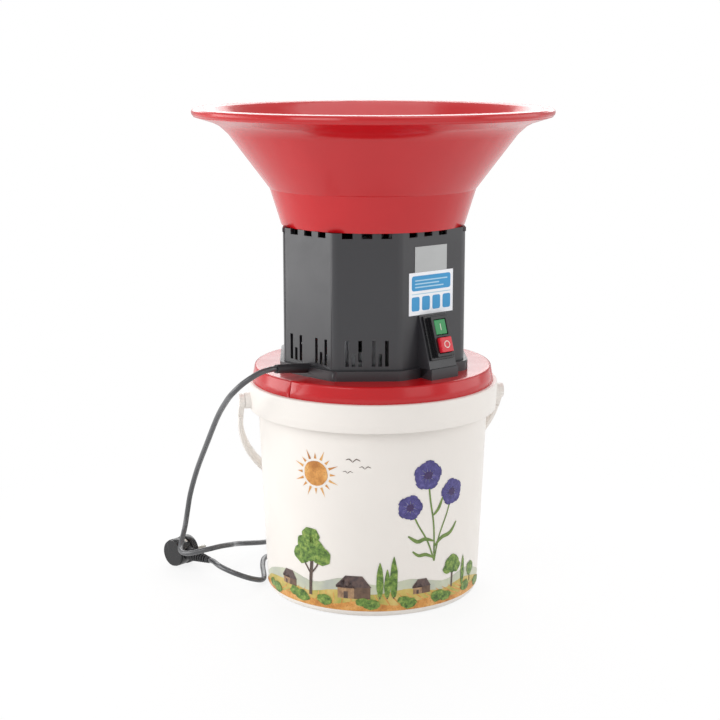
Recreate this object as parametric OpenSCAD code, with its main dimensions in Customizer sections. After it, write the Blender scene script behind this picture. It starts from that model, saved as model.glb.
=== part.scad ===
// Electric grain mill: a motor head with a feed hopper, standing on a lidded bucket.
// Millimetres, +Z up. The origin is the centre of the bucket's base, and -Y is the front.

/* [Bucket] */
// Height of the bucket to the top of its rim
bucket_h = 268; // [240:1:300]
// Outer radius of the bucket's body at its base
bucket_base_r = 134; // [122:1:140]
// Outer radius of the bucket's body at its rim
bucket_top_r = 145; // [142:1:148]
// Wall thickness of the bucket
bucket_wall = 2.5; // [1.8:0.1:3.5]
// Outer radius of the rolled rim
rim_r = 156; // [153:1:160]
// Height of the skirt that hangs from the rim
skirt_h = 34; // [30:1:50]
// Rounding of the bucket's bottom edge
foot_round = 8; // [4:1:12]
// Depth of the recess under the bucket
base_recess = 2; // [1:0.5:4]

/* [Bail handle] */
// Reach of the bail from its pivots to the middle of its strap
bail_reach = 225; // [215:1:235]
// Thickness of the strap
bail_thick = 6.5; // [5:0.5:8]
// Width of the strap
bail_band = 15; // [12:1:18]
// Thickness of the grip
grip_thick = 9; // [8:0.5:10]
// Width of the grip
grip_band = 19; // [18:1:22]
// Radius of the pivot pins
bail_pin_r = 3; // [2:0.5:4]
// Length of the ears that carry the pins
ear_len = 6; // [5:1:9]
// Turn of the pivot line about the bucket's axis, in degrees
bail_turn = 9; // [0:1:15]

/* [Lid] */
// Height of the lid's rim
lid_h = 20; // [16:1:26]
// Outer radius of the lid's lower edge
lid_edge_r = 151; // [149:1:153]
// Outer radius of the lid's top face
lid_top_r = 148; // [146:1:150]
// Thickness of the lid
lid_wall = 4; // [3:0.5:5]
// Depth of the ring that plugs the bucket
plug_ring_h = 12; // [8:1:20]
// Clearance between the plug ring and the bucket
plug_ring_gap = 2.4; // [1.5:0.1:3]

/* [Housing] */
// Height of the motor housing
housing_h = 175; // [170:1:190]
// Half width of the housing between its flat sides
housing_half = 110; // [108:1:114]
// Half width of the housing between its corner sides
housing_corner = 113; // [111:1:116]
// Half width at the side that carries the switch
switch_side = 104.7; // [104:0.1:106]
// Wall thickness of the housing
housing_wall = 3; // [2:0.5:4]
// Rounding of the upright corners
corner_r = 14; // [8:1:18]
// Height of the flange at the foot of the housing
flange_h = 12; // [8:1:14]
// Overhang of the flange
flange_out = 5; // [3:0.5:6]
// Width of an upper vent
top_vent_w = 12.5; // [8:0.5:14]
// Height of an upper vent
top_vent_h = 6.5; // [4:0.5:12]
// Width of a lower vent
low_vent_w = 4.4; // [3:0.2:5]
// Height of a tall lower vent
low_vent_h = 31; // [20:1:36]

/* [Hopper] */
// Height of the hopper
hopper_h = 140.5; // [120:0.5:170]
// Outer radius of the hopper's rim
hopper_rim_r = 220; // [205:1:235]
// Outer radius of the hopper's foot
hopper_foot_r = 113; // [112:1:115]
// Height of the crease between the steep foot and the cone
crease_h = 44; // [30:1:60]
// Outer radius at the crease
crease_r = 126.6; // [120:0.2:135]
// Wall thickness of the hopper
hopper_wall = 3; // [2:0.5:4]
// Width of the square feed passage
feed_w = 28; // [22:1:29]
// Distance of the feed passage from the axis
feed_offset = 70; // [69:0.5:72]

/* [Motor] */
// Outer radius of the stator
stator_r = 48; // [44:0.5:49]
// Height of the stator
stator_h = 50; // [36:1:54]
// Radius of the armature
armature_r = 26.4; // [22:0.2:26.8]
// Air gap between the armature and the stator
air_gap = 0.6; // [0.3:0.1:1]
// Radius of the shaft
shaft_r = 6; // [5:0.5:7]
// Radius of the shaft in the upper bearing
shaft_top_r = 5; // [4:0.5:5]
// Outer radius of the lower bearing
low_bearing_r = 16; // [14:0.5:17]
// Outer radius of the upper bearing
top_bearing_r = 15; // [13:0.5:16]
// Height of both bearings
bearing_h = 10; // [8:0.5:11]
// Radius of the cooling fan
fan_r = 42; // [34:1:44]

/* [Grinding chamber] */
// Outer radius of the grinding chamber
chamber_r = 96; // [95:0.5:97]
// Height of the grinding chamber
chamber_h = 50; // [44:1:58]
// Wall thickness of the grinding chamber
chamber_wall = 3; // [2:0.5:4]
// Outer radius of the flange that holds the sieve
sieve_r = 109; // [108:0.5:112]
// Thickness of the sieve
sieve_t = 2; // [1:0.5:3]
// Radius of a sieve hole
sieve_hole_r = 2.2; // [1.5:0.1:2.6]
// Half length of the beater blade
blade_len = 86; // [70:1:88]
// Width of the beater blade
blade_w = 26; // [20:1:32]
// Thickness of the beater blade
blade_t = 4; // [3:0.5:6]

/* [Switch] */
// Width of the switch console
console_w = 42; // [41:1:48]
// Height of the console over the lid
console_h = 75.4; // [74:0.2:80]
// Overhang of the console at its foot
console_out = 22; // [18:1:24]
// Width of the switch plate
plate_w = 36; // [35:1:38]
// Height of the switch plate
plate_h = 54; // [53:1:56]
// Side of a push button
button_w = 17.5; // [15:0.5:18.5]
// Height of a push button
button_h = 18; // [16:0.5:19]
// Travel of a push button
button_travel = 3; // [2:0.5:4]
// Projection of the off button from the collar
off_button_out = 5; // [3:0.5:8]

/* [Labels] */
// Width of the rating plate
rating_w = 50; // [40:1:52]
// Height of the rating plate
rating_h = 30.3; // [24:0.1:31]
// Width of the notice sticker
sticker_w = 69; // [50:1:70]
// Height of the notice sticker
sticker_h = 51; // [40:0.5:52]

/* [Mains lead] */
// Diameter of the mains lead
cord_d = 6.8; // [6:0.1:7.2]
// Length of the strain relief outside the housing
gland_len = 54; // [40:1:60]
// Radius of the strain relief at its root
gland_r = 5.8; // [5.2:0.1:6.4]
// Radius of the plug's body
plug_r = 18.5; // [17:0.5:20]
// Length of the plug's body
plug_len = 30; // [24:1:34]
// Length of the plug's side boot
boot_len = 38; // [30:1:38]
// Radius of a plug pin
plug_pin_r = 2.4; // [2:0.1:2.4]
// Length of a plug pin
plug_pin_len = 19; // [19:1:20]

/* [Hidden] */
$fn = 96;
eps = 0.01;

// Levels
lid_z = bucket_h + lid_h;
lid_under = lid_z - lid_wall;
housing_top = lid_z + housing_h;
hopper_floor = housing_top + hopper_wall;
ear_drop = 23;
ear_z = bucket_h - ear_drop;

// Bucket
floor_t = 3;
foot_ring_w = 10;
rim_t = 3.5;
rim_lean = 1.5;
rim_round = 2;
ear_r = 10;
pin_gap = 0.05;
function body_r(z) = bucket_base_r + (bucket_top_r - bucket_base_r) * z / bucket_h;

// Lid: a ring under it plugs the bucket
ring_r = body_r(bucket_h) - bucket_wall - plug_ring_gap;
ring_in_r = ring_r - lid_wall + 1;
gasket_h = 5;
gasket_gap = 0.6;
seam_w = 1.2;
seam_depth = 1.4;
seam_dir = -43;
lid_lean = atan((lid_edge_r - lid_top_r) / lid_h);
edge_round = 3;

// Bail: a straight start, two wide arcs and a top arc that is the grip
ear_end = rim_r + ear_len;
ear_root = rim_r - bucket_wall - 0.5;
knuckle_gap = 0.4;
strap_edge = 1.5;
knuckle_r = 9;
bail_half = ear_end + knuckle_gap + bail_thick / 2;
bail_start = 25;
bail_top_r = 140;
bail_rise = bail_reach - bail_top_r - bail_start;
bail_side_r = (bail_half * bail_half + bail_rise * bail_rise - bail_top_r * bail_top_r)
    / (2 * (bail_half - bail_top_r));
bail_join = atan2(bail_rise, bail_side_r - bail_half);
bail_rest_gap = 1;
grip_low = [bail_reach - grip_thick / 2, grip_band / 2];
rest_r = body_r(bucket_h * 0.28) + bail_rest_gap;
// Angle of the hanging bail under the level: its grip then lies against the bucket
bail_droop = acos(rest_r / norm(grip_low)) - atan2(grip_low[1], grip_low[0]);

// Housing outline: each side has a direction from the front, and a distance from the axis
switch_dir = 37;
left_dir = -45;
SIDES = [[left_dir, housing_corner], [0, housing_half], [switch_dir, switch_side],
    [90, housing_half], [135, housing_corner], [180, housing_half], [225, housing_corner],
    [270, housing_half]];
front_mid = -11;
console_u = 5.5;
console_top_out = 1.5;
console_foot_h = 13;
console_foot_out = 3;
low_vent_z = 17;
low_vent_pitch = 7.8;
low_vent_short = 0.48;
top_vent_pitch = 23;
// Lower vents: side, middle of the side, distance of the two groups from it
LOW_VENTS = [[0, 0, 21], [1, front_mid, 15.8], [3, -3, 21], [4, 0, 21], [5, 0, 15.8], [6, 0, 21],
    [7, 0, 21]];
// Middle of the upper vents on each side
TOP_MIDS = [0, front_mid, -1, 0, 0, 0, 0, 0];
post_r = 6;
post_bore_r = 1.8;
post_bore_l = 16;
screw_head_r = 4;
screw_head_h = 2.5;
screw_play = 0.4;
post_rib = 3;
rib_short = 2;
post_ring_r = chamber_r + 6;
// Screw posts: direction from the axis, and the side that a rib ties the post to
POSTS = [[202, 7], [22, 3], [112, 5], [281.3, 1]];
lug_out = 1.5;
lug_h = 5;
lug_r = 4;
lug_sides = [2, 3, 6, 7];

// Hopper outline
rim_z = housing_top + hopper_h;
rim_roll = 5;
lip_w = 15;
rim_drop = 17;
neck_r = hopper_rim_r - 25;
neck_bend = 8;
shoulder_r = hopper_rim_r - 44;
shoulder_drop = 31;
ledge = 1.2;

// Feed gate, hinged beside the passage and open at rest
gate_arm = 34;
gate_t = 3;
gate_gap = 0.3;
gate_r = norm([feed_w, feed_w]) / 2 + 2;
gate_open = 75;
gate_pin_r = 3;
gate_knuckle_r = 9;
gate_tab = [3, 16, 22];
gate_tab_at = 8;
gate_nut_t = 3;
gate_head_r = 6;
gate_closed_dir = 20;
gate_pivot = [-gate_arm * cos(gate_closed_dir), feed_offset - gate_arm * sin(gate_closed_dir)];
chute_wall = 2;
chute_w = feed_w + 2 * chute_wall;
chute_collar = 2;
collar_play = 0.3;

// Motor stack
base_t = 5;
base_r = 62;
base_screw_ring_r = base_r - 6;
m4_r = 2;
m4_head_r = 3.5;
m4_head_h = 2.5;
shaft_hole_r = low_bearing_r - 4;
cage_wall = 4;
cage_r = stator_r + 2;
cage_foot_h = 5;
cage_arm_w = 12;
cage_plate_t = 4;
stator_z = lid_z + 46;
stator_top = stator_z + stator_h;
bearing_low_z = lid_z + base_t;
commutator_z = stator_top + 14;
commutator_h = 14;
commutator_r = 13;
cage_top = stator_top + 34;
bearing_top_z = cage_top;
fan_z = bearing_low_z + bearing_h + 5;
fan_h = 12;
coil_end_h = 10;
winding_in = armature_r + air_gap + 2.5;
winding_out = stator_r - 8;
winding_half = 13;
winding_turn = 124;
brush_gap = 0.1;
brush = [22, 7.8, 6.8];
brush_z = commutator_z + commutator_h / 2;
holder_play = 0.1;
holder_wall = 2;
holder_in = commutator_r + 3;
holder_out = cage_r - cage_wall;
run_gap = 0.03;
bolt_ring_r = stator_r + 6;
boss_wall = 4;

// Grinding chamber
chamber_z = lid_under - chamber_h;
stud_ring_r = 102.5;
stud_r = 2.5;
stud_head_r = 4;
wing_h = 7;
wing_hub_r = 5;
wing_w = 26;
wing_t = 2;
stud_low = chamber_z - sieve_t - wing_h - 2;
blade_z = chamber_z + 16;
cross_share = 0.7;
thread_r = 4;
nut_h = 6.5;
nut_r = 7.5;
washer_t = 1.6;
washer_r = 10;
sieve_rings = 7;
sieve_pitch = 11.5;

// Switch
tilt = atan((console_out - console_top_out) / (console_h - console_foot_h));
switch_h = (console_h + console_foot_h) / 2;
switch_out = (console_out + console_top_out) / 2;
switch_rise = 4;
bezel_t = 3;
plate_edge = 5;
fit_gap = 0.4;
collar_t = 6;
collar_rim = 4;
button_pitch = 22;
button_shift = 1;
button_gap = 0.4;
button_depth = 6;
body_depth = 24;
stem_w = 8;
on_button_out = -0.5;

// Labels, one over the other above the console
sticker_t = 0.4;
rating_t = 0.5;
label_mid = 4;
rating_mid = 3.2;
label_gap = 0.2;
sticker_low = console_h + label_gap;
rating_low = sticker_low + sticker_h + label_gap;

// Capacitor and terminals
capacitor_at = [-72, 28];
capacitor_r = 14;
capacitor_len = 44;
clip_z = 18;
clip_t = 1;
clip_h = 8;
terminal = [32, 14, 12];
terminal_at = [-16, -88];

// Mains lead
gland_h = 9.5;
gland_u = -1;
gland_tip_r = 5;
gland_tail = 8;
gland_lip = 1.8;
gland_seat = 1.1;
gland_straight = 12;
gland_tilt = 7.3;
gland_out = [sin(left_dir), -cos(left_dir), 0];
gland_side = [cos(left_dir), sin(left_dir), 0];
gland_root = gland_out * housing_corner + gland_side * gland_u + [0, 0, lid_z + gland_h];
gland_dir = gland_out * cos(gland_tilt) + [0, 0, sin(gland_tilt)];
gland_tip = gland_root + gland_dir * gland_len;
cord_sides = 10;
ring_step = 2.5 * cord_d;
// Hanging and lying stretch from the strain relief to the coil
LEAD_PTS = [[-137.1, -131.3, 302.7], [-154.6, -135.1, 292.3], [-169.1, -126.5, 277.5],
    [-179.2, -98.9, 259.9], [-191.9, -60.2, 232.2], [-209.1, -9.7, 185.5], [-225.8, 38.2, 138.4],
    [-236.9, 62.2, 99.9], [-241.9, 71.3, 74.3], [-245.4, 66.1, 53.4], [-249, 51.5, 38.1],
    [-249.4, 34.9, 32.1], [-243.1, 19.5, 32], [-230.6, 8.7, 36.2], [-212.8, 6, 41.2],
    [-194.2, 13.7, 43.1], [-182.2, 31.5, 39.1], [-181, 64, 28.8], [-172.7, 87.5, 21.7],
    [-145.9, 117.3, 13], [-135.1, 143.7, 6.3], [-126.5, 166.4, 4.4], [-106.9, 191.9, 4],
    [-83.9, 215.9, 3.6], [-66, 234, 3.6], [-50, 245, 3.9]];
// Lying stretch from the coil to the plug
TAIL_PTS = [[-60, 157, 6], [-84, 148, 3.7], [-109.9, 124.9, 3.7], [-129.6, 94.4, 4.2],
    [-141.2, 74.3, 5.5], [-142.9, 47.1, 5.1], [-140.3, -0.9, 3.7], [-153.3, -23.1, 11.3],
    [-175.5, -26.9, 20.4], [-194.7, -12.6, 24.6], [-205.8, 20.5, 20.1]];
coil_c = [-20, 205];
coil_turns = 1.5;
coil_gap = 0.6;
coil_pitch = cord_d + coil_gap;
coil_out_r = 45;
coil_z = cord_d / 2;
coil_rings = 24;
coil_total = 360 * 2 * coil_turns + 180;
coil_steps = round(coil_total / 360 * coil_rings);
// The turns spiral in and out again, and climb a layer in the half turn between
function turn_r(a) = coil_out_r - coil_pitch * min(a, coil_total - a) / 360;
function climb(a) = max(0, min(1, (a - coil_total / 2 + 90) / 180));
// The lead comes in at the back heading +X, and turns clockwise
COIL = [for (i = [0 : coil_steps]) let (a = coil_total * i / coil_steps, r = turn_r(a))
    [coil_c[0] + r * sin(a), coil_c[1] + r * cos(a), coil_z + coil_pitch * climb(a)]];
coil_in_dir = [1, 0, 0];
coil_out_dir = [-1, 0, 0];
coil_start = COIL[0] - coil_in_dir * cord_d;
coil_end = COIL[coil_steps] + coil_out_dir * cord_d;
// Least gap between stretches that are over half a turn apart
echo(least_coil_gap = min([for (i = [0 : coil_steps]) for (k = [i + coil_rings / 2 : coil_steps])
    norm(COIL[i] - COIL[k])]) - cord_d);

// Plug: the pins point one way, and the lead enters from the side
plug_turn = 45.6;
plug_dir = [cos(plug_turn), sin(plug_turn), 0];
boot_dir = [sin(plug_turn), -cos(plug_turn), 0];
plug_c = [-252, 70, plug_r];
plug_pin_pitch = 19;
boot_r = 8.5;
rib_depth = 1.3;
plug_seat = 2;
plug_band = 9;
boot_end = plug_c + boot_dir * (plug_r + boot_len);

BLACK = [0.2, 0.2, 0.21];
CREAM = [0.93, 0.9, 0.85];
RED = [0.72, 0.08, 0.1];
STEEL = [0.72, 0.73, 0.75];
COPPER = [0.72, 0.4, 0.2];
CORD = [0.13, 0.13, 0.14];

// ---------- helpers ----------

function unit(v) = v / norm(v);

// Points on an arc about c
function arc_points(c, r, from, to, step = 30) =
    [for (a = [from : step : to]) [c[0] + r * cos(a), c[1] + r * sin(a)]];

// Direction that points out of a side of the housing
function out_of(dir) = [sin(dir), -cos(dir)];

// Corner where two sides meet, each moved out by d
function corner(a, b, d) =
    let (n = out_of(a[0]), m = out_of(b[0]), det = n[0] * m[1] - n[1] * m[0])
    [((a[1] + d) * m[1] - (b[1] + d) * n[1]) / det, ((b[1] + d) * n[0] - (a[1] + d) * m[0]) / det];

// Outline of the housing moved out by d, with its corners rounded
function outline(d, r, steps = 5) = [
    for (i = [0 : len(SIDES) - 1])
        let (a = SIDES[i], b = SIDES[(i + 1) % len(SIDES)], c = corner(a, b, d - r),
            turn = (b[0] - a[0] + 360) % 360)
        for (k = [0 : steps]) c + r * out_of(a[0] + turn * k / steps)
];

// Puts a child on a side of the housing: X runs along it and -Y points out of it
module on_side(dir, dist) {
    rotate([0, 0, dir]) translate([0, -dist, 0]) children();
}

module ring(outer, inner, h) {
    difference() {
        cylinder(r = outer, h = h);
        translate([0, 0, -1]) cylinder(r = inner, h = h + 2);
    }
}

module around(count, radius, start = 0) {
    for (i = [0 : count - 1]) rotate([0, 0, start + i * 360 / count]) translate([radius, 0, 0]) children();
}

module at_posts(z) {
    for (p = POSTS) rotate([0, 0, p[0]]) translate([post_ring_r, 0, z]) children();
}

// Square block that stands where the grain falls
module drop(w, h) {
    translate([-w / 2, feed_offset - w / 2, 0]) cube([w, w, h]);
}

module screw(shank_r, shank_l, head_r, head_h) {
    cylinder(r = head_r, h = head_h);
    translate([0, 0, -shank_l]) cylinder(r = shank_r, h = shank_l + head_h / 2);
}

// Point on a smooth curve between b and c
function bend(a, b, c, d, t) =
    0.5 * (2 * b + (c - a) * t + (2 * a - 5 * b + 4 * c - d) * t * t + (3 * b - a - 3 * c + d) * t * t * t);

// Smooth route through points, with rings about step apart
function route(p, step) =
    let (n = len(p))
    [for (i = [0 : n - 2])
        let (a = p[max(i - 1, 0)], b = p[i], c = p[i + 1], d = p[min(i + 2, n - 1)],
            m = max(1, round(norm(c - b) / step)))
        for (k = [0 : m - 1]) bend(a, b, c, d, k / m),
    p[n - 1]];

// Directions along a route, with the first and last ones given
function headings(p, first, last) = [for (i = [0 : len(p) - 1])
    i == 0 ? first : i == len(p) - 1 ? last : unit(p[i + 1] - p[i - 1])];

// Side vectors that turn as little as possible along the route
function sides_of(t, start) = [
    for (i = 0, s = unit(start - t[0] * (start * t[0])); i < len(t);
        s = i + 1 < len(t) ? unit(s - t[i + 1] * (s * t[i + 1])) : s, i = i + 1) s];

// Round tube along a route
module tube(p, first, last, r, n) {
    t = headings(p, first, last);
    s = sides_of(t, [0.1, 0.2, 1]);
    points = [for (i = [0 : len(p) - 1]) for (k = [0 : n - 1])
        p[i] + r * (cos(k * 360 / n) * s[i] + sin(k * 360 / n) * cross(t[i], s[i]))];
    last_ring = (len(p) - 1) * n;
    polyhedron(points, concat(
        [for (k = [1 : n - 2]) [0, k, k + 1]],
        [for (k = [1 : n - 2]) [last_ring, last_ring + k + 1, last_ring + k]],
        [for (i = [0 : len(p) - 2]) for (k = [0 : n - 1]) let (a = i * n + k, b = i * n + (k + 1) % n)
            each [[a, a + n, b + n], [a, b + n, b]]]));
}

// ---------- bucket and bail ----------

module ears() {
    for (side = [0, 180])
        rotate([0, 0, bail_turn + side])
            translate([ear_root, 0, ear_z])
                rotate([0, 90, 0]) cylinder(r = ear_r, h = ear_end - ear_root);
}

module bucket() {
    foot_in = bucket_base_r - foot_round - foot_ring_w;
    color(CREAM) difference() {
        union() {
            rotate_extrude() polygon(concat(
                [[0, base_recess], [foot_in - base_recess, base_recess], [foot_in, 0]],
                arc_points([body_r(foot_round) - foot_round, foot_round], foot_round, -90, 0, 15),
                [[body_r(bucket_h - rim_t), bucket_h - rim_t], [rim_r - bucket_wall, bucket_h - rim_t],
                    [rim_r - bucket_wall - rim_lean, bucket_h - skirt_h],
                    [rim_r - rim_lean, bucket_h - skirt_h]],
                arc_points([rim_r - rim_round, bucket_h - rim_round], rim_round, 0, 90),
                [[body_r(bucket_h) - bucket_wall, bucket_h]],
                [[body_r(foot_round) - bucket_wall, foot_round + floor_t],
                    [bucket_base_r - bucket_wall - foot_round / 2, base_recess + floor_t],
                    [0, base_recess + floor_t]]));
            ears();
        }
        for (side = [0, 180])
            rotate([0, 0, bail_turn + side])
                translate([ear_root - 2, 0, ear_z])
                    rotate([0, 90, 0]) cylinder(r = bail_pin_r + pin_gap, h = ear_end - ear_root + 4);
    }
}

module strap_arc(r, from, to, thick, band) {
    x = thick / 2;
    y = band / 2;
    rotate([0, 0, from]) rotate_extrude(angle = to - from) translate([r, 0])
        polygon([[-x, strap_edge - y], [strap_edge - x, -y], [x - strap_edge, -y], [x, strap_edge - y],
            [x, y - strap_edge], [x - strap_edge, y], [strap_edge - x, y], [-x, y - strap_edge]]);
}

module bail_half_strap() {
    translate([bail_half - bail_side_r, bail_start, 0])
        strap_arc(bail_side_r, 0, bail_join + 1, bail_thick, bail_band);
    translate([0, bail_reach - bail_top_r, 0])
        strap_arc(bail_top_r, bail_join, 91, grip_thick, grip_band);
    translate([bail_half - bail_thick / 2, 0, strap_edge - bail_band / 2])
        cube([bail_thick, bail_start + eps, bail_band - 2 * strap_edge]);
    translate([bail_half - bail_thick / 2, 0, 0]) rotate([0, 90, 0])
        cylinder(r = knuckle_r, h = bail_thick);
    translate([ear_end - ear_len, 0, 0]) rotate([0, 90, 0])
        cylinder(r = bail_pin_r, h = ear_len + knuckle_gap + 1);
}

module bail() {
    color(CREAM) rotate([0, 0, bail_turn]) translate([0, 0, ear_z]) rotate([-bail_droop, 0, 0])
        for (m = [0, 1]) mirror([m, 0, 0]) bail_half_strap();
}

// ---------- lid ----------

module lid() {
    color(RED) difference() {
        rotate_extrude() polygon(concat(
            [[0, lid_under], [ring_in_r, lid_under], [ring_in_r, bucket_h - plug_ring_h],
                [ring_r, bucket_h - plug_ring_h], [ring_r, lid_under],
                [lid_top_r - lid_wall + 1, lid_under], [lid_edge_r - lid_wall + 1, bucket_h],
                [lid_edge_r, bucket_h]],
            arc_points([lid_top_r - edge_round, lid_z - edge_round], edge_round, 0, 90),
            [[0, lid_z]]));
        translate([0, 0, lid_under - 1]) cylinder(r = shaft_hole_r, h = lid_wall + 2);
        translate([0, 0, lid_under - 1]) drop(chute_w, lid_wall + 2);
        at_posts(lid_under - 1) cylinder(r = post_bore_r + screw_play, h = lid_wall + 2);
        translate([0, 0, lid_under - 1]) around(4, stud_ring_r) cylinder(r = stud_r, h = lid_wall + 2);
        translate([0, 0, lid_z - 3]) around(3, base_screw_ring_r, 30) cylinder(r = m4_r, h = 4);
        // Seams in the lid's outer edge
        for (i = [0 : 2])
            rotate([0, 0, seam_dir + 120 * i]) translate([0, -lid_edge_r, bucket_h])
                rotate([-lid_lean, 0, 0]) translate([-seam_w / 2, -1, -1])
                    cube([seam_w, seam_depth + 1, lid_h]);
    }
}

module lid_gasket() {
    color("dimgray") translate([0, 0, bucket_h - plug_ring_h / 2 - gasket_h / 2])
        ring(ring_r + plug_ring_gap - gasket_gap, ring_r, gasket_h);
}

// ---------- housing ----------

module prism(d, h) {
    linear_extrude(h) polygon(outline(d, corner_r + d));
}

module low_vents() {
    for (v = LOW_VENTS) for (side = [-1, 1]) for (k = [-1 : 1])
        let (u = v[1] + side * v[2] + k * low_vent_pitch, short = k == 0 ? low_vent_short : 1)
        on_side(SIDES[v[0]][0], SIDES[v[0]][1])
            translate([u - low_vent_w / 2, -housing_wall, lid_z + low_vent_z])
                cube([low_vent_w, housing_wall * 4, low_vent_h * short]);
}

module top_vents() {
    for (i = [0 : len(SIDES) - 1]) for (k = [-1 : 1])
        on_side(SIDES[i][0], SIDES[i][1])
            translate([TOP_MIDS[i] + k * top_vent_pitch - top_vent_w / 2, -housing_wall,
                housing_top - top_vent_h])
                cube([top_vent_w, housing_wall * 3, top_vent_h + 1]);
}

// Side view of the switch console, moved in by d
module console_shape(d, w) {
    on_side(switch_dir, switch_side) translate([console_u, 0, lid_z])
        rotate([0, 0, -90]) rotate([90, 0, 0]) linear_extrude(w, center = true)
            polygon([[-housing_wall - d * 2, -d], [console_out + console_foot_out - d, -d],
                [console_out + console_foot_out - d, console_foot_h - d],
                [console_out - d, console_foot_h - d / 2], [console_top_out - d, console_h - d],
                [-housing_wall - d * 2, console_h - d]]);
}

module on_switch() {
    on_side(switch_dir, switch_side) translate([console_u, -switch_out, lid_z + switch_h])
        rotate([-tilt, 0, 0]) translate([0, 0, switch_rise]) children();
}

// Block in the switch's own frame: its front is at y, and it is depth deep
module slab(w, depth, h, y) {
    translate([-w / 2, y, -h / 2]) cube([w, depth, h]);
}

module posts() {
    at_posts(lid_z) cylinder(r = post_r, h = housing_h);
    for (p = POSTS)
        let (side = SIDES[p[1]], turn = p[0] - side[0], reach = side[1] - housing_wall / 2)
        on_side(side[0], reach) translate([post_ring_r * cos(turn) - post_rib / 2, 0, lid_z + rib_short])
            cube([post_rib, reach + post_ring_r * sin(turn), housing_h - 2 * rib_short]);
}

module housing() {
    color(BLACK) difference() {
        union() {
            difference() {
                union() {
                    translate([0, 0, lid_z]) prism(0, housing_h);
                    translate([0, 0, lid_z]) prism(flange_out, flange_h);
                    console_shape(0, console_w);
                    // Lugs under the hopper's foot
                    for (i = lug_sides)
                        let (a = SIDES[i], b = SIDES[(i + 1) % len(SIDES)],
                            mid = a[0] + ((b[0] - a[0] + 360) % 360) / 2,
                            c = corner(a, b, lug_out - corner_r) + (corner_r - lug_r) * out_of(mid))
                        translate([c[0], c[1], housing_top - lug_h]) cylinder(r = lug_r, h = lug_h);
                }
                translate([0, 0, lid_z - 1]) prism(-housing_wall, housing_h + 2);
                console_shape(housing_wall, console_w - 2 * housing_wall);
            }
            posts();
        }
        low_vents();
        top_vents();
        on_switch() slab(plate_w - 2 * plate_edge + fit_gap, 2.5 * body_depth,
            plate_h - 2 * plate_edge + fit_gap, -2 * housing_wall);
        translate(gland_root) rotate([0, 0, left_dir]) rotate([90 - gland_tilt, 0, 0])
            cylinder(r = gland_r, h = gland_len, center = true);
        at_posts(lid_z - 1) cylinder(r = post_bore_r, h = post_bore_l + 1);
        at_posts(housing_top - post_bore_l) cylinder(r = post_bore_r, h = post_bore_l + 1);
    }
}

module housing_screws() {
    color(STEEL) at_posts(lid_under) rotate([180, 0, 0])
        screw(post_bore_r, lid_wall + post_bore_l - 2, screw_head_r, screw_head_h);
}

module hopper_screws() {
    color(STEEL) at_posts(hopper_floor)
        screw(post_bore_r, hopper_wall + post_bore_l - 2, screw_head_r, screw_head_h);
}

// ---------- hopper and feed ----------

module hopper() {
    crease_z = housing_top + crease_h;
    outer = [[hopper_foot_r, housing_top], [crease_r, crease_z], [crease_r + ledge, crease_z + ledge],
        [shoulder_r, rim_z - shoulder_drop], [neck_r - neck_bend, rim_z - rim_drop - neck_bend / 2],
        [neck_r, rim_z - rim_drop], [hopper_rim_r - rim_roll / 2, rim_z - 2 * rim_roll]];
    inner = [[hopper_rim_r - lip_w, rim_z], [hopper_rim_r - lip_w - rim_roll, rim_z - rim_roll / 2],
        [hopper_rim_r - lip_w - 2 * rim_roll, rim_z - 1.6 * rim_roll],
        [shoulder_r - hopper_wall, rim_z - shoulder_drop + hopper_wall / 2],
        [crease_r - hopper_wall + 1, crease_z + ledge], [hopper_foot_r - hopper_wall + 1, hopper_floor]];
    color(RED) difference() {
        rotate_extrude() polygon(concat([[0, housing_top]], outer,
            arc_points([hopper_rim_r - rim_roll, rim_z - rim_roll], rim_roll, -60, 90),
            inner, [[0, hopper_floor]]));
        translate([0, 0, housing_top - 1]) drop(feed_w, hopper_wall + 2);
        at_posts(housing_top - 1) cylinder(r = post_bore_r, h = hopper_wall + 2);
        translate([gate_pivot[0], gate_pivot[1], housing_top - 1])
            cylinder(r = gate_pin_r, h = hopper_wall + 2);
    }
}

// The gate swings over the passage. It rests turned away from it
module feed_gate() {
    color(STEEL) translate([gate_pivot[0], gate_pivot[1], hopper_floor + gate_gap])
        rotate([0, 0, gate_closed_dir - gate_open]) difference() {
            union() {
                translate([gate_arm, 0, 0]) cylinder(r = gate_r, h = gate_t);
                translate([0, 2 - gate_knuckle_r, 0]) cube([gate_arm, 2 * gate_knuckle_r - 4, gate_t]);
                cylinder(r = gate_knuckle_r, h = gate_t);
                translate([gate_arm + gate_tab_at, -2, 0]) cube(gate_tab);
            }
            translate([0, 0, -1]) cylinder(r = gate_pin_r + pin_gap, h = gate_t + 2);
        }
}

module gate_screw() {
    head_low = hopper_wall + gate_t + 2 * gate_gap;
    color(STEEL) translate([gate_pivot[0], gate_pivot[1], housing_top]) {
        translate([0, 0, -2 * gate_nut_t]) cylinder(r = gate_pin_r, h = 2 * gate_nut_t + head_low + eps);
        translate([0, 0, head_low]) cylinder(r = gate_head_r, h = gate_nut_t);
        translate([0, 0, -gate_nut_t]) cylinder(r = gate_head_r, h = gate_nut_t);
    }
}

module feed_chute() {
    color(STEEL) translate([0, 0, lid_under]) difference() {
        union() {
            drop(chute_w, housing_top - lid_under);
            translate([0, 0, lid_wall]) drop(chute_w + 2 * chute_collar, 3);
        }
        translate([0, 0, -1]) drop(feed_w, housing_top - lid_under + 2);
    }
}

// ---------- motor ----------

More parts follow.
